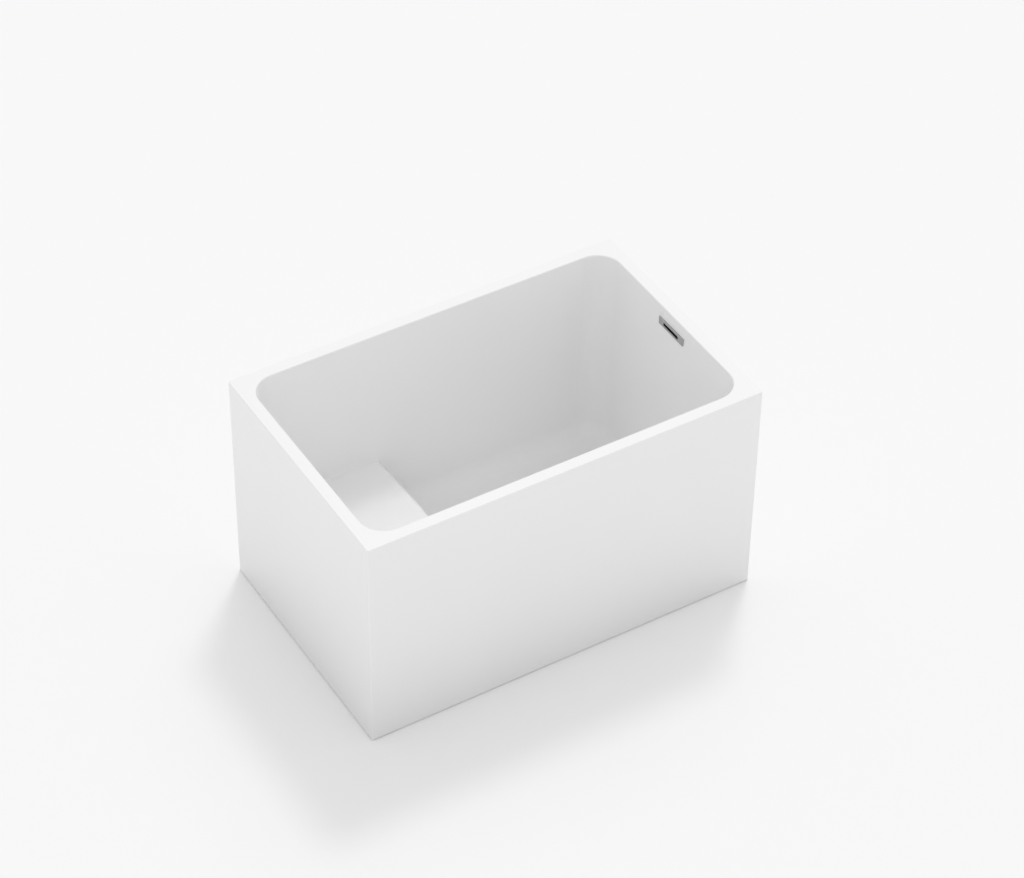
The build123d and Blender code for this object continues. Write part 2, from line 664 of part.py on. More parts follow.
def waste_body():
    """Cup under the basin with a flange, a hose inlet towards the end wall and a pipe outlet."""
    cup = rod(BODY_R, BODY_LIFT, body_top)
    cup += rod(BODY_FLANGE_R, body_top - BODY_FLANGE_THICK, body_top)
    along_x = Rot(0, 90, 0)
    inlet = along_x * Cylinder(SPIGOT_R, BODY_R + SPIGOT_LENGTH, align=STANDING)
    outlet = along_x * Cylinder(OUTLET_R, outlet_reach, align=HANGING)
    outlet += along_x * Cylinder(OUTLET_COLLAR_R, BODY_R + OUTLET_COLLAR_LENGTH, align=HANGING)
    cup += Pos(0, 0, inlet_z) * inlet
    cup += Pos(0, 0, outlet_z) * outlet
    cup -= rod(BODY_R - BODY_WALL, BODY_LIFT + BODY_WALL, tail_bottom)
    cup -= rod(TAIL_R + WASTE_THREAD_CLEAR, tail_bottom - OVERCUT, body_top + OVERCUT)
    cup -= rod(BOWL_R + WASTE_THREAD_CLEAR, bowl_floor, body_top + OVERCUT)
    inlet_bore = Cylinder(SPIGOT_R - SPIGOT_WALL, BODY_R + SPIGOT_LENGTH + OVERCUT, align=STANDING)
    outlet_bore = Cylinder(OUTLET_R - OUTLET_WALL, outlet_reach + OVERCUT, align=HANGING)
    cup -= Pos(0, 0, inlet_z) * along_x * inlet_bore
    return cup - Pos(0, 0, outlet_z) * along_x * outlet_bore


at_drain = Pos(drain_x, 0, 0)
upper_gasket_low = FLOOR_HEIGHT - recess_depth
upper_gasket = ring(
    FLANGE_R, BOWL_R + DRAIN_HOLE_CLEAR, upper_gasket_low, upper_gasket_low + UPPER_GASKET_THICK
)
lower_gasket = ring(BODY_FLANGE_R, BOWL_R + DRAIN_HOLE_CLEAR, body_top, recess_underside)
write("waste_flange", at_drain * waste_flange())
write("waste_gasket_upper", at_drain * upper_gasket)
write("waste_gasket_lower", at_drain * lower_gasket)
write("waste_body", at_drain * waste_body())


# ---------------------------------------------------------------- plug, raised
seal_z = neck_bottom_open + PLUG_NECK_HEIGHT / 2
seal_r = BOWL_R - BOWL_WALL - STOP_GAP - SEAL_WIRE_R


def plug_cap():
    """Crowned disc with a neck below it, grooved for the seal and bored for the stem."""
    low = neck_bottom_open + PLUG_NECK_HEIGHT
    disc = rod(PLUG_CAP_R, low, low + PLUG_CAP_THICK - PLUG_CAP_CROWN)
    crown_r = (PLUG_CAP_R**2 + PLUG_CAP_CROWN**2) / (2 * PLUG_CAP_CROWN)
    crown = Pos(0, 0, low + PLUG_CAP_THICK - crown_r) * Sphere(crown_r)
    disc = rod(PLUG_CAP_R, low, low + PLUG_CAP_THICK) & (crown + disc)
    neck = rod(PLUG_NECK_R, neck_bottom_open, low)
    groove_half = SEAL_WIRE_R + THREAD_FIT
    neck -= ring(BOWL_R, seal_r - groove_half, seal_z - groove_half, seal_z + groove_half)
    bore = rod(STEM_R + THREAD_FIT, neck_bottom_open - OVERCUT, neck_bottom_open + STEM_IN_CAP)
    return disc + neck - bore


def plug_stem():
    shaft = rod(STEM_R, piston_bottom, neck_bottom_open + STEM_IN_CAP)
    return shaft + rod(BARREL_BORE_R - SLIDE_FIT, piston_bottom, piston_top)


def plug_barrel():
    barrel = rod(BARREL_R, barrel_bottom, barrel_top)
    collar_low = bowl_floor + BOWL_WALL
    barrel += rod(BARREL_COLLAR_R, collar_low, collar_low + BARREL_COLLAR_HEIGHT)
    barrel -= rod(BARREL_BORE_R, barrel_bottom - OVERCUT, barrel_top - BARREL_TOP_WALL)
    return barrel - rod(STEM_R + SLIDE_FIT, barrel_bottom, barrel_top + OVERCUT)


def plug_spring():
    """Coil between the barrel's end cap and the piston."""
    low = spring_seat + SPRING_END_GAP + SPRING_WIRE_R
    high = piston_bottom - SPRING_END_GAP - SPRING_WIRE_R
    coil = Helix((high - low) / SPRING_TURNS, high - low, SPRING_R)
    wire = Plane(coil @ 0, z_dir=coil % 0) * Circle(SPRING_WIRE_R)
    return Pos(0, 0, low) * sweep(wire, coil, is_frenet=True)


write("plug_cap", at_drain * plug_cap())
write("plug_seal", at_drain * Pos(0, 0, seal_z) * Torus(seal_r, SEAL_WIRE_R))
write("plug_stem", at_drain * plug_stem())
write("plug_barrel", at_drain * plug_barrel())
write("plug_spring", at_drain * plug_spring())
end_cap = rod(BARREL_BORE_R - THREAD_FIT, barrel_bottom, spring_seat)
write("barrel_end_cap", at_drain * end_cap)


# ---------------------------------------------------------------- overflow
cover_x = wall_x - COVER_PROUD
clamp_x = wall_x - CLAMP_THICK


def overflow_cover():
    """Shallow metal tray over the clamp frame, with the slot that shows."""
    tray = wall_plate(COVER_WIDTH, COVER_HEIGHT, cover_x, wall_x)
    tray = fillet(tray.edges().filter_by(Axis.X), COVER_EDGE_R)
    tray = fillet(tray.faces().sort_by(Axis.X)[0].edges(), COVER_EDGE_R)
    inside_width = COVER_WIDTH - 2 * COVER_WALL
    inside_height = COVER_HEIGHT - 2 * COVER_WALL
    tray -= wall_plate(inside_width, inside_height, cover_x + COVER_WALL, wall_x + OVERCUT)
    return tray - wall_slot(COVER_SLOT_WIDTH, COVER_SLOT_HEIGHT, cover_x - OVERCUT, wall_x)


def overflow_clamp_frame():
    margin = 2 * (COVER_WALL + CLAMP_MARGIN)
    plate = wall_plate(COVER_WIDTH - margin, COVER_HEIGHT - margin, clamp_x, wall_x)
    plate -= wall_slot(CLAMP_WINDOW_WIDTH, CLAMP_WINDOW_HEIGHT, clamp_x - OVERCUT, wall_x + OVERCUT)
    width, height = WALL_HOLE_WIDTH - 2 * SLEEVE_FIT, WALL_HOLE_HEIGHT - 2 * SLEEVE_FIT
    sleeve = wall_slot(width, height, wall_x, housing_x0)
    width, height = width - 2 * SLEEVE_WALL, height - 2 * SLEEVE_WALL
    plate += sleeve - wall_slot(width, height, wall_x - OVERCUT, housing_x0 + OVERCUT)
    along_x = Rot(0, 90, 0)
    for y in (-CLAMP_SCREW_Y, CLAMP_SCREW_Y):
        hole = along_x * Cylinder(CLAMP_SCREW_R + SCREW_HOLE_CLEAR, 3 * CLAMP_THICK)
        sink = along_x * Cylinder(
            CLAMP_SCREW_HEAD_R + SCREW_HOLE_CLEAR, 2 * CLAMP_SCREW_HEAD_HEIGHT
        )
        plate -= Pos(clamp_x, y, overflow_z) * (hole + sink)
    return plate


def overflow_gasket():
    pad = wall_plate(HOUSING_WIDTH, HOUSING_HEIGHT, pad_x, housing_x0)
    return pad - wall_slot(WALL_HOLE_WIDTH, WALL_HOLE_HEIGHT, 0, housing_x1)


def overflow_housing():
    """Box behind the wall, open towards the slot, with screw bosses and a spigot for the hose."""
    shell = wall_plate(HOUSING_WIDTH, HOUSING_HEIGHT, housing_x0, housing_x1)
    inside_width = HOUSING_WIDTH - 2 * HOUSING_WALL
    inside_height = HOUSING_HEIGHT - 2 * HOUSING_WALL
    shell -= wall_plate(inside_width, inside_height, housing_x0 - OVERCUT, housing_x1 - HOUSING_WALL)
    boss_r = CLAMP_SCREW_R + HOUSING_WALL
    depth = housing_x1 - housing_x0
    for y in (-CLAMP_SCREW_Y, CLAMP_SCREW_Y):
        boss = Rot(0, 90, 0) * Cylinder(boss_r, depth, align=STANDING)
        shell += Pos(housing_x0, y, overflow_z) * boss
        bore = Rot(0, 90, 0) * Cylinder(CLAMP_SCREW_R, 2 * (depth - HOUSING_WALL))
        shell -= Pos(housing_x0, y, overflow_z) * bore
    spigot_top = overflow_z - inside_height / 2
    shell += Pos(hose_x, 0, 0) * rod(SPIGOT_R, spigot_bottom, spigot_top)
    bore = rod(SPIGOT_R - SPIGOT_WALL, spigot_bottom - OVERCUT, spigot_top + OVERCUT)
    return shell - Pos(hose_x, 0, 0) * bore


def overflow_hose():
    """Hose down the space between the shells, round under the basin and on to the waste."""
    top = (hose_x, 0, overflow_z - HOUSING_HEIGHT / 2 - HOSE_END_GAP)
    corner = (hose_x, 0, inlet_z)
    end = (drain_x + BODY_R + HOSE_END_GAP, 0, inlet_z)
    route = FilletPolyline(top, corner, end, radius=HOSE_BEND_R)
    section = Plane(route @ 0, z_dir=route % 0) * (Circle(hose_r) - Circle(hose_bore_r))
    return sweep(section, route)


def hose_clip(low):
    """Band on the Z axis with the housing and head of its tightening screw on the +Y side."""
    band_r = hose_r + CLIP_THICK
    middle = low + CLIP_WIDTH / 2
    housing = block(
        (-CLIP_WORM_LENGTH / 2, 0, middle - CLIP_WORM_WIDTH / 2),
        (CLIP_WORM_LENGTH / 2, band_r + CLIP_WORM_REACH, middle + CLIP_WORM_WIDTH / 2),
    )
    head = Rot(0, 90, 0) * Cylinder(
        CLIP_WORM_SCREW_R, CLIP_WORM_LENGTH / 2 + CLIP_WORM_SCREW_LENGTH, align=STANDING
    )
    head = Pos(0, band_r + CLIP_WORM_REACH / 2, middle) * head
    clip = rod(band_r, low, low + CLIP_WIDTH) + housing + head
    return clip - rod(hose_r, low - OVERCUT, low + CLIP_WIDTH + OVERCUT)


hose_top = overflow_z - HOUSING_HEIGHT / 2
clamp_screw = screw(
    CLAMP_SCREW_LENGTH, CLAMP_SCREW_R, CLAMP_SCREW_HEAD_R, CLAMP_SCREW_HEAD_HEIGHT
)
clamp_screws = [
    Pos(clamp_x + CLAMP_SCREW_HEAD_HEIGHT, y, overflow_z) * Rot(0, 90, 0) * clamp_screw
    for y in (-CLAMP_SCREW_Y, CLAMP_SCREW_Y)
]
upper_clip = Pos(hose_x, 0, 0) * hose_clip(hose_top - CLIP_SETBACK - CLIP_WIDTH)
lower_clip = Pos(drain_x + BODY_R, 0, inlet_z) * Rot(0, 90, 0) * hose_clip(CLIP_SETBACK)
write("overflow_cover", overflow_cover())
write("overflow_clamp_frame", overflow_clamp_frame())
write("overflow_screws", *clamp_screws)
write("overflow_gasket", overflow_gasket())
write("overflow_housing", overflow_housing())
write("overflow_hose", overflow_hose())
write("hose_clip_upper", upper_clip)
write("hose_clip_lower", lower_clip)
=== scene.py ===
import json
import math

import bmesh
import bpy
from mathutils import Matrix, Vector


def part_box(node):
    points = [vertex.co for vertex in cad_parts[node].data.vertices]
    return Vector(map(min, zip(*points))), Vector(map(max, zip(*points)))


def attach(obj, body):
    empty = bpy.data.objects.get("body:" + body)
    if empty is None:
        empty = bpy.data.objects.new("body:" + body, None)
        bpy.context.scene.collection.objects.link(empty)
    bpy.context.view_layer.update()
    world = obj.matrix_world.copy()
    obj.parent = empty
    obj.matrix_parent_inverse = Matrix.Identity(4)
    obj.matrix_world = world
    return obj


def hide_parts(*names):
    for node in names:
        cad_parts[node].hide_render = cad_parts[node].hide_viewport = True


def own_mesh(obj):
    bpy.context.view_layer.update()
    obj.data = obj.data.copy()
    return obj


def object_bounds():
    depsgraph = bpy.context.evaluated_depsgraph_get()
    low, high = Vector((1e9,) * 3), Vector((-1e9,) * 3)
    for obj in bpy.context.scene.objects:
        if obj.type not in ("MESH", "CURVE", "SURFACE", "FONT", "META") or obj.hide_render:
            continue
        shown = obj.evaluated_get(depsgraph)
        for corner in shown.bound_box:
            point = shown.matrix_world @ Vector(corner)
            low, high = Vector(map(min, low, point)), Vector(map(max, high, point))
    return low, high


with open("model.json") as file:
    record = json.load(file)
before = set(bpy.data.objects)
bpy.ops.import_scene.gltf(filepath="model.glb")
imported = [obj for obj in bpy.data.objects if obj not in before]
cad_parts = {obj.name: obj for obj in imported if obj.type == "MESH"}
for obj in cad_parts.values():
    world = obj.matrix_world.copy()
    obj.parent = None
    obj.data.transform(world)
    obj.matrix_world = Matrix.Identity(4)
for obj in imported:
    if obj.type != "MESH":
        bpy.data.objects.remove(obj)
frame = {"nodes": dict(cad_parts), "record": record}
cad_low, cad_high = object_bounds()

# The looks of a small freestanding bath: satin white acrylic, with its frame, feet, waste and
# overflow as they are underneath. Metres, in the part's own frame: +X is the drain end.

# ---------------------------------------------------------------- sizes that only the looks need
DECK_SKIN = 0.0015            # how far a shell's glossy face reaches round its cut edge
OVER_RIM = 0.1                # height over the rim of the point that the basin's inside faces
SKIRT_TURN = 0.01             # keeps the skirt's cut lower edge on its glossy side
PLY_THICKNESS = 0.0024

STUD_R = 0.005
STUD_HEAD_R = 0.008
STUD_HEAD_HEIGHT = 0.003
STUD_HEAD_BEVEL = 0.0004
STUD_SIDES = 48
COLLAR_FLATS = 0.014
COLLAR_LOW = 0.0147
COLLAR_HIGH = 0.0197
COLLAR_SIDES = 96
COLLAR_BEVEL_STEPS = 4
THREAD_PITCH = 0.0015
THREAD_DEPTH = 0.0007
THREAD_CHAMFER = 0.001
THREAD_SIDES = 32
THREAD_ROWS_PER_TURN = 8

HOSE_R = 0.00855
HOSE_BORE_R = 0.00655
HOSE_BORE_STEP = 0.008
HOSE_BEND_R = 0.085
HOSE_CUFF = 0.016
HOSE_RIB_PITCH = 0.004
HOSE_RIB_DEPTH = 0.0011
HOSE_ROWS_PER_RIB = 6
HOSE_SIDES = 28

SPRING_WIRE_R = 0.0005
SPRING_WIRE_SIDES = 10
SPRING_OPEN_TURNS = 4.0
SPRING_CLOSED_TURNS = 0.75    # at each end
SPRING_CLOSED_PITCH = 2.2 * SPRING_WIRE_R
SPRING_TURNS = SPRING_OPEN_TURNS + 2 * SPRING_CLOSED_TURNS
SPRING_ROWS_PER_TURN = 28


# ---------------------------------------------------------------- shader building
class Shader:
    """A Principled material under construction. Its textures all use the object's own metres."""

    def __init__(self, name):
        self.material = bpy.data.materials.new(name)
        self.material.use_nodes = True
        self.nodes = self.material.node_tree.nodes
        self.links = self.material.node_tree.links
        self.principled = self.nodes["Principled BSDF"]
        self.place = self.nodes.new("ShaderNodeTexCoord").outputs["Object"]

    def set(self, **values):
        """Constant values on the shader's own sockets, such as IOR or Metallic."""
        for name, value in values.items():
            self.principled.inputs[name.replace("_", " ")].default_value = value
        return self

    def link(self, output, socket):
        self.links.new(output, self.principled.inputs[socket])
        return self

    def finish(self, texture, tones, roughness):
        """Colour and roughness that both follow one texture."""
        self.link(self.ramp(texture, *tones), "Base Color")
        return self.link(self.span(texture, *roughness), "Roughness")

    def stretched(self, scale):
        """The object's own metres, scaled by axis, for a grain or a brushed line."""
        mapping = self.nodes.new("ShaderNodeMapping")
        mapping.inputs["Scale"].default_value = scale
        self.links.new(self.place, mapping.inputs["Vector"])
        return mapping.outputs["Vector"]

    def noise(self, scale, detail=2.0, roughness=0.5, vector=None):
        node = self.nodes.new("ShaderNodeTexNoise")
        node.inputs["Scale"].default_value = scale
        node.inputs["Detail"].default_value = detail
        node.inputs["Roughness"].default_value = roughness
        self.links.new(vector or self.place, node.inputs["Vector"])
        return node.outputs["Fac"]

    def cells(self, scale):
        """A random colour to each crystal."""
        node = self.nodes.new("ShaderNodeTexVoronoi")
        node.inputs["Scale"].default_value = scale
        self.links.new(self.place, node.inputs["Vector"])
        return node.outputs["Color"]

    def distance_to_edge(self, scale):
        """0 on the borders between crumpled cells, more inside them."""
        crumple = 4.0 / scale
        wobble = self.nodes.new("ShaderNodeTexNoise")
        wobble.inputs["Scale"].default_value = 1.0 / crumple
        self.links.new(self.place, wobble.inputs["Vector"])
        pushed = self.nodes.new("ShaderNodeVectorMath")
        pushed.operation = "MULTIPLY_ADD"
        self.links.new(wobble.outputs["Color"], pushed.inputs[0])
        pushed.inputs[1].default_value = (crumple,) * 3
        self.links.new(self.place, pushed.inputs[2])
        node = self.nodes.new("ShaderNodeTexVoronoi")
        node.feature = "DISTANCE_TO_EDGE"
        node.inputs["Scale"].default_value = scale
        self.links.new(pushed.outputs["Vector"], node.inputs["Vector"])
        return node.outputs["Distance"]

    def ramp(self, value, *stops):
        """Colour ramp of (position, colour) stops."""
        node = self.nodes.new("ShaderNodeValToRGB")
        elements = node.color_ramp.elements
        while len(elements) < len(stops):
            elements.new(0.5)
        for element, (position, colour) in zip(elements, stops):
            element.position = position
            element.color = (*colour, 1.0)
        self.links.new(value, node.inputs["Fac"])
        return node.outputs["Color"]

    def span(self, value, low, high):
        """Maps 0 to 1 onto low to high."""
        node = self.nodes.new("ShaderNodeMapRange")
        node.inputs["To Min"].default_value = low
        node.inputs["To Max"].default_value = high
        self.links.new(value, node.inputs["Value"])
        return node.outputs["Result"]

    def math(self, operation, *values):
        node = self.nodes.new("ShaderNodeMath")
        node.operation = operation
        for socket, value in zip(node.inputs, values):
            if isinstance(value, (int, float)):
                socket.default_value = value
            else:
                self.links.new(value, socket)
        return node.outputs["Value"]

    def axes(self):
        """The place's own X, Y and Z."""
        node = self.nodes.new("ShaderNodeSeparateXYZ")
        self.links.new(self.place, node.inputs["Vector"])
        return tuple(node.outputs)

    def mix(self, factor, a, b):
        """Colour a where the factor is 0 and b where it is 1. b may be a constant."""
        node = self.nodes.new("ShaderNodeMix")
        node.data_type = "RGBA"
        first, second = [socket for socket in node.inputs if socket.type == "RGBA"]
        self.links.new(factor, node.inputs["Factor"])
        self.links.new(a, first)
        if isinstance(b, tuple):
            second.default_value = (*b, 1.0)
        else:
            self.links.new(b, second)
        return next(socket for socket in node.outputs if socket.type == "RGBA")

    def outward(self, centre, axes=(1.0, 1.0, 1.0)):
        """How far the surface faces away from a point inside the object."""
        geometry = self.nodes.new("ShaderNodeNewGeometry")
        offset = self.nodes.new("ShaderNodeVectorMath")
        offset.operation = "SUBTRACT"
        self.links.new(self.place, offset.inputs[0])
        offset.inputs[1].default_value = centre
        flat = self.nodes.new("ShaderNodeVectorMath")
        flat.operation = "MULTIPLY"
        self.links.new(offset.outputs["Vector"], flat.inputs[0])
        flat.inputs[1].default_value = axes
        dot = self.nodes.new("ShaderNodeVectorMath")
        dot.operation = "DOT_PRODUCT"
        self.links.new(flat.outputs["Vector"], dot.inputs[0])
        self.links.new(geometry.outputs["True Normal"], dot.inputs[1])
        return dot.outputs["Value"]

    def bump(self, height, distance, strength=1.0):
        node = self.nodes.new("ShaderNodeBump")
        node.inputs["Distance"].default_value = distance
        node.inputs["Strength"].default_value = strength
        self.links.new(height, node.inputs["Height"])
        return self.link(node.outputs["Normal"], "Normal")


ACRYLIC_ALBEDO = 0.935
ACRYLIC_SPREAD = 0.006        # how much that varies over the sheet
ACRYLIC_WAVE = 0.00015        # height of the sheet's slow waves
RESIN_RELIEF = 0.0016         # height of the glass fibre's relief
STRAND_SHARE = 0.35           # of the relief, what the chopped strands add


def acrylic_shell(name, backed):
    """Satin acrylic sheet, backed with sprayed-on glass fibre where backed(shader) is 1."""
    s = Shader(name).set(IOR=1.49)
    low = (ACRYLIC_ALBEDO - ACRYLIC_SPREAD,) * 3
    high = (ACRYLIC_ALBEDO + ACRYLIC_SPREAD,) * 3
    face = s.ramp(s.noise(3.0), (0.3, low), (0.7, high))
    back = backed(s)
    lay = s.noise(38.0, 6.0, 0.72)
    strands = s.distance_to_edge(150.0)
    resin = s.math("ADD", lay, s.math("MULTIPLY", strands, STRAND_SHARE))
    tones = ((0.36, (0.58, 0.56, 0.47)), (0.56, (0.72, 0.71, 0.63)), (0.76, (0.80, 0.79, 0.73)))
    s.link(s.mix(back, face, s.ramp(resin, *tones)), "Base Color")
    gloss = s.span(s.noise(40.0, 3.0), 0.32, 0.40)
    s.link(s.math("ADD", gloss, s.math("MULTIPLY", back, s.span(lay, 0.05, 0.35))), "Roughness")
    smooth = s.math("MULTIPLY", s.noise(9.0, 1.0), ACRYLIC_WAVE)
    rough = s.math("MULTIPLY", s.math("MULTIPLY", resin, back), RESIN_RELIEF)
    return s.bump(s.math("ADD", smooth, rough), 1.0).material


def basin_back(s):
    """The basin's hidden side: it faces away from a point over the rim, and is no outer edge."""
    over_rim = Vector((0.0, 0.0, cad_high.z + OVER_RIM))
    hidden = s.math("GREATER_THAN", s.outward(over_rim), 0.0)
    x, y, z = s.axes()
    within = s.math("LESS_THAN", s.math("ABSOLUTE", x), cad_high.x - DECK_SKIN)
    beside = s.math("LESS_THAN", s.math("ABSOLUTE", y), cad_high.y - DECK_SKIN)
    under = s.math("LESS_THAN", z, cad_high.z - DECK_SKIN)
    return s.math("MULTIPLY", s.math("MULTIPLY", hidden, within), s.math("MULTIPLY", beside, under))


def skirt_back(s):
    """The skirt's inner side: it faces the upright line through the middle."""
    return s.math("LESS_THAN", s.outward(Vector(), (1.0, 1.0, 0.0)), -SKIRT_TURN)


def timber(name, stretch):
    """Planed softwood with its grain along the batten."""
    s = Shader(name).set(IOR=1.45)
    grain = s.noise(26.0, 6.0, 0.62, s.stretched(stretch))
    tones = ((0.30, (0.40, 0.25, 0.12)), (0.52, (0.62, 0.43, 0.24)), (0.75, (0.72, 0.54, 0.33)))
    return s.finish(grain, tones, (0.72, 0.86)).bump(grain, 0.0004, 0.6).material


def plywood():
    """Rotary-cut face veneer, with the plies showing as bands up the edges."""
    s = Shader("plywood").set(IOR=1.45)
    grain = s.noise(12.0, 5.0, 0.6, s.stretched((1.0, 9.0, 9.0)))
    tones = ((0.32, (0.50, 0.35, 0.20)), (0.56, (0.66, 0.49, 0.31)), (0.78, (0.74, 0.58, 0.39)))
    face = s.ramp(grain, *tones)
    x, y, z = s.axes()
    ply = s.math("GREATER_THAN", s.math("FRACT", s.math("DIVIDE", z, 2 * PLY_THICKNESS)), 0.5)
    edge = s.ramp(ply, (0.0, (0.42, 0.28, 0.15)), (1.0, (0.64, 0.47, 0.29)))
    normal = s.nodes.new("ShaderNodeSeparateXYZ")
    geometry = s.nodes.new("ShaderNodeNewGeometry")
    s.links.new(geometry.outputs["Normal"], normal.inputs["Vector"])
    upright = s.math("LESS_THAN", s.math("ABSOLUTE", normal.outputs["Z"]), 0.5)
    s.link(s.mix(upright, face, edge), "Base Color")
    s.link(s.span(grain, 0.68, 0.82), "Roughness")
    return s.bump(grain, 0.0003, 0.5).material


def galvanised():
    """Hot-dip zinc: crystals of slightly different grey and gloss."""
    s = Shader("galvanised_steel").set(Metallic=1.0)
    tones = ((0.2, (0.42, 0.44, 0.46)), (0.8, (0.60, 0.62, 0.64)))
    s.finish(s.cells(120.0), tones, (0.34, 0.55))
    return s.bump(s.noise(300.0, 2.0), 0.0001, 0.4).material


def zinc_plate():
    """Bright zinc with a faint yellow stain."""
    s = Shader("zinc_plated_steel").set(Metallic=1.0)
    tones = ((0.3, (0.62, 0.61, 0.58)), (0.7, (0.74, 0.75, 0.76)))
    return s.finish(s.noise(220.0, 3.0), tones, (0.20, 0.34)).material


def moulded(name, dark, light, roughness):
    """Injection-moulded plastic with a fine spark-eroded texture."""
    s = Shader(name).set(IOR=1.5)
    s.finish(s.noise(60.0, 2.0), ((0.3, dark), (0.7, light)), roughness)
    return s.bump(s.noise(2600.0, 2.0), 0.00005, 0.5).material


def chrome():
    """Polished plate with faint wiping marks."""
    s = Shader("chrome").set(Metallic=1.0)
    marks = s.noise(90.0, 4.0, 0.6, s.stretched((1.0, 3.0, 1.0)))
    tones = ((0.35, (0.70, 0.71, 0.73)), (0.7, (0.80, 0.81, 0.83)))
    return s.finish(marks, tones, (0.06, 0.14)).material


def satin_steel():
    """Brushed along the slot."""
    s = Shader("satin_steel").set(Metallic=1.0)
    lines = s.noise(60.0, 4.0, 0.7, s.stretched((60.0, 0.8, 60.0)))
    tones = ((0.3, (0.44, 0.44, 0.45)), (0.7, (0.56, 0.56, 0.57)))
    return s.finish(lines, tones, (0.28, 0.42)).bump(lines, 0.00003, 0.5).material


def brass():
    """Turned, with fine level rings."""
    s = Shader("brass").set(Metallic=1.0)
    rings = s.noise(80.0, 3.0, 0.6, s.stretched((1.0, 1.0, 40.0)))
    tones = ((0.3, (0.58, 0.42, 0.17)), (0.7, (0.76, 0.60, 0.30)))
    return s.finish(rings, tones, (0.20, 0.34)).bump(rings, 0.00005, 0.5).material


LOOKS = {
    "basin_acrylic": acrylic_shell("basin_acrylic", basin_back),
    "skirt_acrylic": acrylic_shell("skirt_acrylic", skirt_back),
    "timber": timber("timber", (1.2, 14.0, 14.0)),
    "timber_across": timber("timber_across", (14.0, 1.2, 14.0)),
    "plywood": plywood(),
    "galvanised_steel": galvanised(),
    "zinc_plated_steel": zinc_plate(),
    "black_plastic": moulded("black_plastic", (0.012,) * 3, (0.020,) * 3, (0.42, 0.55)),
    "grey_plastic": moulded("grey_plastic", (0.60, 0.60, 0.59), (0.64, 0.64, 0.63), (0.36, 0.46)),
    "hose_plastic": moulded("hose_plastic", (0.34, 0.35, 0.36), (0.38, 0.39, 0.40), (0.34, 0.44)),
    "rubber": moulded("rubber", (0.018,) * 3, (0.030,) * 3, (0.68, 0.82)),
    "chrome": chrome(),
    "satin_steel": satin_steel(),
    "brass": brass(),
}

SPECIAL_LOOKS = {"basin_shell": "basin_acrylic", "outer_skirt": "skirt_acrylic"}
slot_of = {part["node"]: part["material_slot"] for part in frame["record"]["subparts"]}
for node, shown in frame["nodes"].items():
    look = SPECIAL_LOOKS.get(node, slot_of[node])
    if look == "timber" and node.endswith("_end"):
        look = "timber_across"
    shown.data.materials.clear()
    shown.data.materials.append(LOOKS[look])


# ---------------------------------------------------------------- pieces in more detail
def into_scene(thing):
    bpy.context.scene.collection.objects.link(thing)


def new_piece(name, form, look):
    """An object made of the form, in one of the looks."""
    bmesh.ops.recalc_face_normals(form, faces=form.faces)
    mesh = bpy.data.meshes.new(name)
    form.to_mesh(mesh)
    form.free()
    mesh.materials.append(LOOKS[look])
    piece = bpy.data.objects.new(name, mesh)
    into_scene(piece)
    return piece


def stand_in(piece, body, node):
    """Lets a detailed piece ride a body and stand for a CAD node, which it hides."""
    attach(piece, body)
    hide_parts(node)


def loft(form, rings, smooth=True, closed=False):
    """Skins a list of rings of points, and caps its ends unless it closes on itself."""
    rows = [[form.verts.new(point) for point in ring] for ring in rings]
    pairs = list(zip(rows, rows[1:]))
    if closed:
        pairs.append((rows[-1], rows[0]))
    for low, high in pairs:
        for i in range(len(low)):
            k = (i + 1) % len(low)
            face = form.faces.new((low[i], low[k], high[k], high[i]))
            face.smooth = smooth
    if not closed:
        form.faces.new(rows[0][::-1])
        form.faces.new(rows[-1])


def turned_ring(x, y, z, radius, count):
    """Points of a level circle; radius may be a function of the turn, 0 to 1."""
    points = []
    for i in range(count):
        turn = i / count
        r = radius(turn) if callable(radius) else radius
        points.append((x + r * math.cos(math.tau * turn), y + r * math.sin(math.tau * turn), z))
    return points


def thread_radius(z, limit):
    """Radius by turn of a right-hand V thread at one height, and nowhere over the limit."""
    def radius(turn):
        phase = (z / THREAD_PITCH - turn) % 1.0
        return min(limit, STUD_R - THREAD_DEPTH * abs(2.0 * phase - 1.0))
    return radius


def hexagon_radius(limit):
    """Radius by turn of the collar's hexagon, with its corners cut at the limit."""
    def radius(turn):
        angle = (turn * 6.0) % 1.0 - 0.5
        return min(limit, COLLAR_FLATS / 2 / math.cos(angle * math.pi / 3))
    return radius


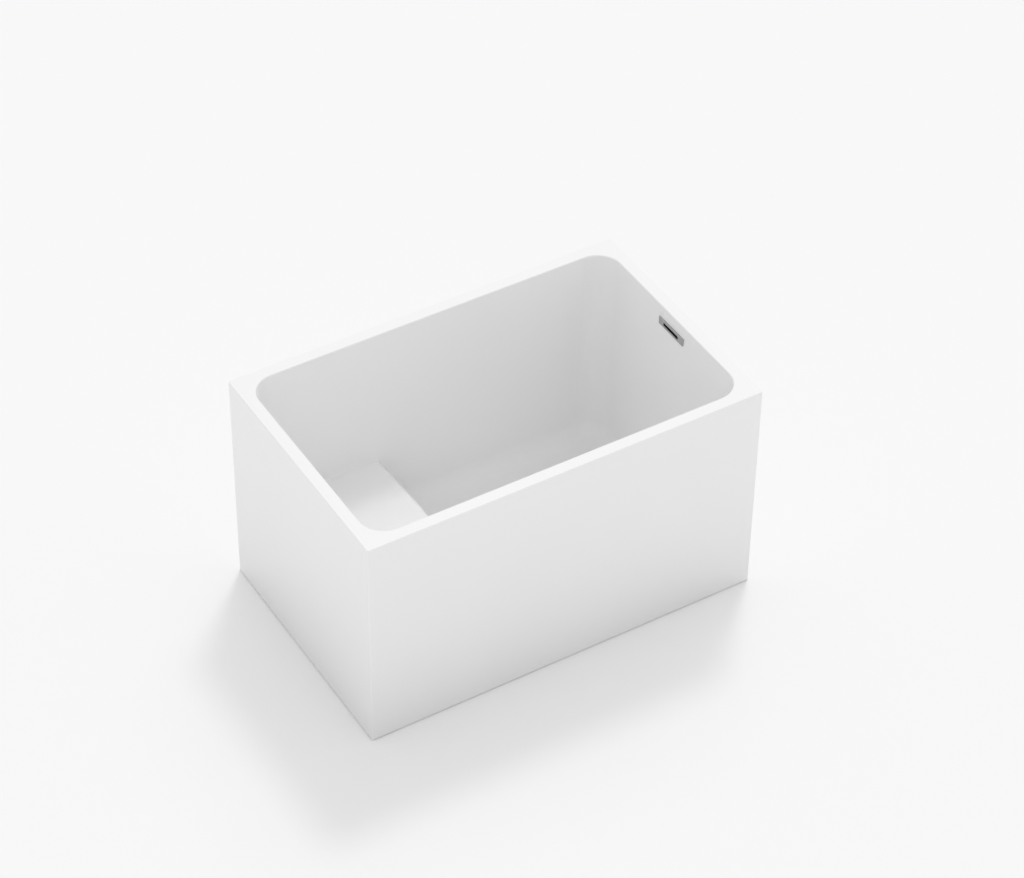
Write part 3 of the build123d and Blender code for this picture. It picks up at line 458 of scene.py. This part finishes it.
def foot_stud(name, low, high):
    """Levelling foot's stud: flat head, plain neck, bevelled hexagon and cut thread."""
    x, y = (low.x + high.x) / 2, (low.y + high.y) / 2
    form = bmesh.new()

    bevel = STUD_HEAD_BEVEL
    head_top = low.z + STUD_HEAD_HEIGHT
    loft(form, [
        turned_ring(x, y, low.z, STUD_HEAD_R - bevel, STUD_SIDES),
        turned_ring(x, y, low.z + bevel, STUD_HEAD_R, STUD_SIDES),
        turned_ring(x, y, head_top - bevel, STUD_HEAD_R, STUD_SIDES),
        turned_ring(x, y, head_top, STUD_HEAD_R - bevel, STUD_SIDES),
    ], smooth=False)
    loft(form, [
        turned_ring(x, y, head_top, STUD_R - THREAD_DEPTH, STUD_SIDES),
        turned_ring(x, y, COLLAR_LOW, STUD_R - THREAD_DEPTH, STUD_SIDES),
    ])

    half = COLLAR_FLATS / 2
    reach = COLLAR_FLATS / math.sqrt(3) - half
    rise = reach / math.sqrt(3)
    steps = [i / COLLAR_BEVEL_STEPS for i in range(COLLAR_BEVEL_STEPS + 1)]
    lower = [(COLLAR_LOW + rise * t, half + reach * t) for t in steps]
    upper = [(COLLAR_HIGH - rise * t, half + reach * t) for t in reversed(steps)]
    loft(form, [
        turned_ring(x, y, z, hexagon_radius(limit), COLLAR_SIDES) for z, limit in lower + upper
    ], smooth=False)

    length = high.z - COLLAR_HIGH
    rows = int(length / THREAD_PITCH * THREAD_ROWS_PER_TURN)
    rings = []
    for row in range(rows + 1):
        z = COLLAR_HIGH + length * row / rows
        limit = STUD_R - max(0.0, z - (high.z - THREAD_CHAMFER))
        rings.append(turned_ring(x, y, z, thread_radius(z, limit), THREAD_SIDES))
    loft(form, rings)
    return new_piece(name, form, "zinc_plated_steel")


for end in ("seat", "drain"):
    for side in ("front", "back"):
        node = f"foot_stud_{end}_{side}"
        stand_in(foot_stud(f"threaded_{node}", *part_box(node)), node, node)


def hose_route(low, high, step):
    """The hose's middle line: down, round a bend under the basin, and along to the waste.

    A list of (length before, length after, point, direction).
    """
    drop_x = high.x - HOSE_R
    run_z = low.z + HOSE_R
    straight = high.z - run_z - HOSE_BEND_R
    bend = HOSE_BEND_R * math.pi / 2
    run = drop_x - HOSE_BEND_R - low.x
    total = straight + bend + run
    count = round(total / step)
    route = []
    for i in range(count + 1):
        s = total * i / count
        if s < straight:
            point = Vector((drop_x, 0.0, high.z - s))
            heading = Vector((0.0, 0.0, -1.0))
        elif s < straight + bend:
            turn = (s - straight) / HOSE_BEND_R
            centre = Vector((drop_x - HOSE_BEND_R, 0.0, run_z + HOSE_BEND_R))
            point = centre + HOSE_BEND_R * Vector((math.cos(turn), 0.0, -math.sin(turn)))
            heading = Vector((-math.sin(turn), 0.0, -math.cos(turn)))
        else:
            left = s - straight - bend
            point = Vector((drop_x - HOSE_BEND_R - left, 0.0, run_z))
            heading = Vector((-1.0, 0.0, 0.0))
        route.append((s, total - s, point, heading))
    return route


def ribbed_hose(low, high):
    """Corrugated hose with a plain cuff at each end."""
    form = bmesh.new()
    across = Vector((0.0, 1.0, 0.0))

    def ring(point, heading, radius):
        up = across.cross(heading)
        turns = [math.tau * i / HOSE_SIDES for i in range(HOSE_SIDES)]
        return [point + radius * (math.cos(a) * across + math.sin(a) * up) for a in turns]

    outside = []
    for before, after, point, heading in hose_route(low, high, HOSE_RIB_PITCH / HOSE_ROWS_PER_RIB):
        depth = 0.0
        if min(before, after) > HOSE_CUFF:
            ribs = (before - HOSE_CUFF) / HOSE_RIB_PITCH
            depth = HOSE_RIB_DEPTH * (0.5 - 0.5 * math.cos(math.tau * ribs))
        outside.append(ring(point, heading, HOSE_R - depth))
    inside = []
    for before, after, point, heading in hose_route(low, high, HOSE_BORE_STEP):
        inside.append(ring(point, heading, HOSE_BORE_R))
    loft(form, outside + inside[::-1], closed=True)
    return new_piece("ribbed_overflow_hose", form, "hose_plastic")


stand_in(ribbed_hose(*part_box("overflow_hose")), "tub", "overflow_hose")


def coil_height(turn, low_z, high_z):
    """Height along the spring's wire: nearly flat end turns with open ones between them."""
    closed_rise = SPRING_CLOSED_PITCH * SPRING_CLOSED_TURNS
    open_rise = high_z - low_z - 2 * closed_rise
    if turn < SPRING_CLOSED_TURNS:
        return low_z + SPRING_CLOSED_PITCH * turn
    if turn > SPRING_TURNS - SPRING_CLOSED_TURNS:
        return high_z - SPRING_CLOSED_PITCH * (SPRING_TURNS - turn)
    return low_z + closed_rise + open_rise * (turn - SPRING_CLOSED_TURNS) / SPRING_OPEN_TURNS


def plug_coil(low, high):
    """The plug's return spring, with closed ends."""
    form = bmesh.new()
    radius = (high.x - low.x) / 2 - SPRING_WIRE_R
    count = round(SPRING_TURNS * SPRING_ROWS_PER_TURN)
    rings = []
    for i in range(count + 1):
        turn = SPRING_TURNS * i / count
        outward = Vector((math.cos(math.tau * turn), math.sin(math.tau * turn), 0.0))
        z = coil_height(turn, low.z + SPRING_WIRE_R, high.z - SPRING_WIRE_R)
        middle = Vector(((low.x + high.x) / 2, (low.y + high.y) / 2, z)) + radius * outward
        ring = []
        for k in range(SPRING_WIRE_SIDES):
            around = math.tau * k / SPRING_WIRE_SIDES
            rise = Vector((0.0, 0.0, math.sin(around)))
            ring.append(middle + SPRING_WIRE_R * (math.cos(around) * outward + rise))
        rings.append(ring)
    loft(form, rings)
    return new_piece("coiled_plug_spring", form, "zinc_plated_steel")


spring_low, spring_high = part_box("plug_spring")
spring = plug_coil(spring_low, spring_high)
stand_in(spring, "tub", "plug_spring")
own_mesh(spring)


# ---------------------------------------------------------------- stage
FLOOR_HALF = 40.0
FLOOR_SHOWN = 0.975           # as the camera and the polished parts see it
FLOOR_BOUNCE = 0.93           # its colour for the light it gives back, well away from the object
FLOOR_BOUNCE_PAINTED_SHADE = 0.55      # painted shade: the colour for the light it gives back right beside the object, darker so that the object's sides deepen downwards
FLOOR_PAINTED_SHADE_REACH = 0.30     # from the one to the other
FLOOR_PAINTED_SHADE_SHIFT = -0.12    # moves that painted shade into the object's shadow, along both X and Y


def studio_floor():
    """Pale floor. Close to the object, the colour for the light it gives back is darker. This is
    painted shade that makes the object's sides deepen downwards.
    """
    s = Shader("studio_floor").set(Roughness=1.0)
    s.principled.inputs["Specular IOR Level"].default_value = 0.0
    x, y, z = s.axes()

    def beyond(axis, half):
        """Square of how far outside the moved footprint a place lies along one axis."""
        from_middle = s.math("ABSOLUTE", s.math("SUBTRACT", axis, FLOOR_PAINTED_SHADE_SHIFT))
        return s.math("POWER", s.math("MAXIMUM", s.math("SUBTRACT", from_middle, half), 0.0), 2.0)

    apart = s.math("SQRT", s.math("ADD", beyond(x, cad_high.x), beyond(y, cad_high.y)))
    share = s.math("DIVIDE", apart, FLOOR_PAINTED_SHADE_REACH)
    # painted shade on the floor: only the light given back onto the object sees it, while the
    # camera and polished parts see the plain floor
    bounce_with_painted_shade = s.ramp(share, (0.0, (FLOOR_BOUNCE_PAINTED_SHADE,) * 3), (1.0, (FLOOR_BOUNCE,) * 3))
    path = s.nodes.new("ShaderNodeLightPath").outputs
    seen = s.math("MAXIMUM", path["Is Camera Ray"], path["Is Glossy Ray"])
    seen = s.math("MAXIMUM", seen, path["Is Transmission Ray"])
    s.link(s.mix(seen, bounce_with_painted_shade, (FLOOR_SHOWN,) * 3), "Base Color")
    return s.material


floor_mesh = bpy.data.meshes.new("studio_floor")
floor_form = bmesh.new()
bmesh.ops.create_grid(floor_form, x_segments=2, y_segments=2, size=FLOOR_HALF)
floor_form.to_mesh(floor_mesh)
floor_form.free()
floor_mesh.materials.append(studio_floor())
floor = bpy.data.objects.new("studio_floor", floor_mesh)
into_scene(floor)


# ---------------------------------------------------------------- light
LAMP_AZIMUTH = 45.0           # degrees from +X towards +Y
KEY_ELEVATION = 60.5
KEY_WIDTH = 10.0              # degrees across, which sets how soft the shadow's edge is
KEY_STRENGTH = 0.43
SOFT_ELEVATION = 52.0
SOFT_WIDTH = 30.0
SOFT_STRENGTH = 0.19
SKY_HORIZON = 0.87
SKY_ZENITH = 0.76


def sun(name, strength, elevation, width):
    lamp = bpy.data.lights.new(name, "SUN")
    lamp.energy = strength
    lamp.angle = math.radians(width)
    lamp_object = bpy.data.objects.new(name, lamp)
    lamp_object.rotation_euler = (0.0, math.radians(90.0 - elevation), math.radians(LAMP_AZIMUTH))
    into_scene(lamp_object)


sun("key", KEY_STRENGTH, KEY_ELEVATION, KEY_WIDTH)
sun("soft", SOFT_STRENGTH, SOFT_ELEVATION, SOFT_WIDTH)

world = bpy.data.worlds.new("studio")
world.use_nodes = True
sky = world.node_tree
background = sky.nodes["Background"]
background.inputs["Color"].default_value = (1.0, 1.0, 1.0, 1.0)
direction = sky.nodes.new("ShaderNodeSeparateXYZ")
sky.links.new(sky.nodes.new("ShaderNodeTexCoord").outputs["Generated"], direction.inputs["Vector"])
upwards = sky.nodes.new("ShaderNodeMapRange")
upwards.inputs["To Min"].default_value = SKY_HORIZON
upwards.inputs["To Max"].default_value = SKY_ZENITH
sky.links.new(direction.outputs["Z"], upwards.inputs["Value"])
sky.links.new(upwards.outputs["Result"], background.inputs["Strength"])
bpy.context.scene.world = world


# ---------------------------------------------------------------- camera
CAMERA_PLACE = Vector((-2.87871, -4.74093, 5.41139))
CAMERA_FORWARD = Vector((0.39032, 0.63295, -0.66859))
CAMERA_RIGHT = Vector((0.85596, -0.51694, 0.01033))
CAMERA_LENS_MM = 117.15
SENSOR_MM = 36.0

forward = CAMERA_FORWARD.normalized()
up = CAMERA_RIGHT.cross(forward).normalized()
right = forward.cross(up)
facing = Matrix((right, up, -forward)).transposed()
camera = bpy.data.cameras.new("camera")
camera.lens = CAMERA_LENS_MM
camera.sensor_width = SENSOR_MM
camera_object = bpy.data.objects.new("camera", camera)
camera_object.matrix_world = Matrix.Translation(CAMERA_PLACE) @ facing.to_4x4()
into_scene(camera_object)
bpy.context.scene.camera = camera_object
bpy.context.scene.view_settings.view_transform = "Standard"
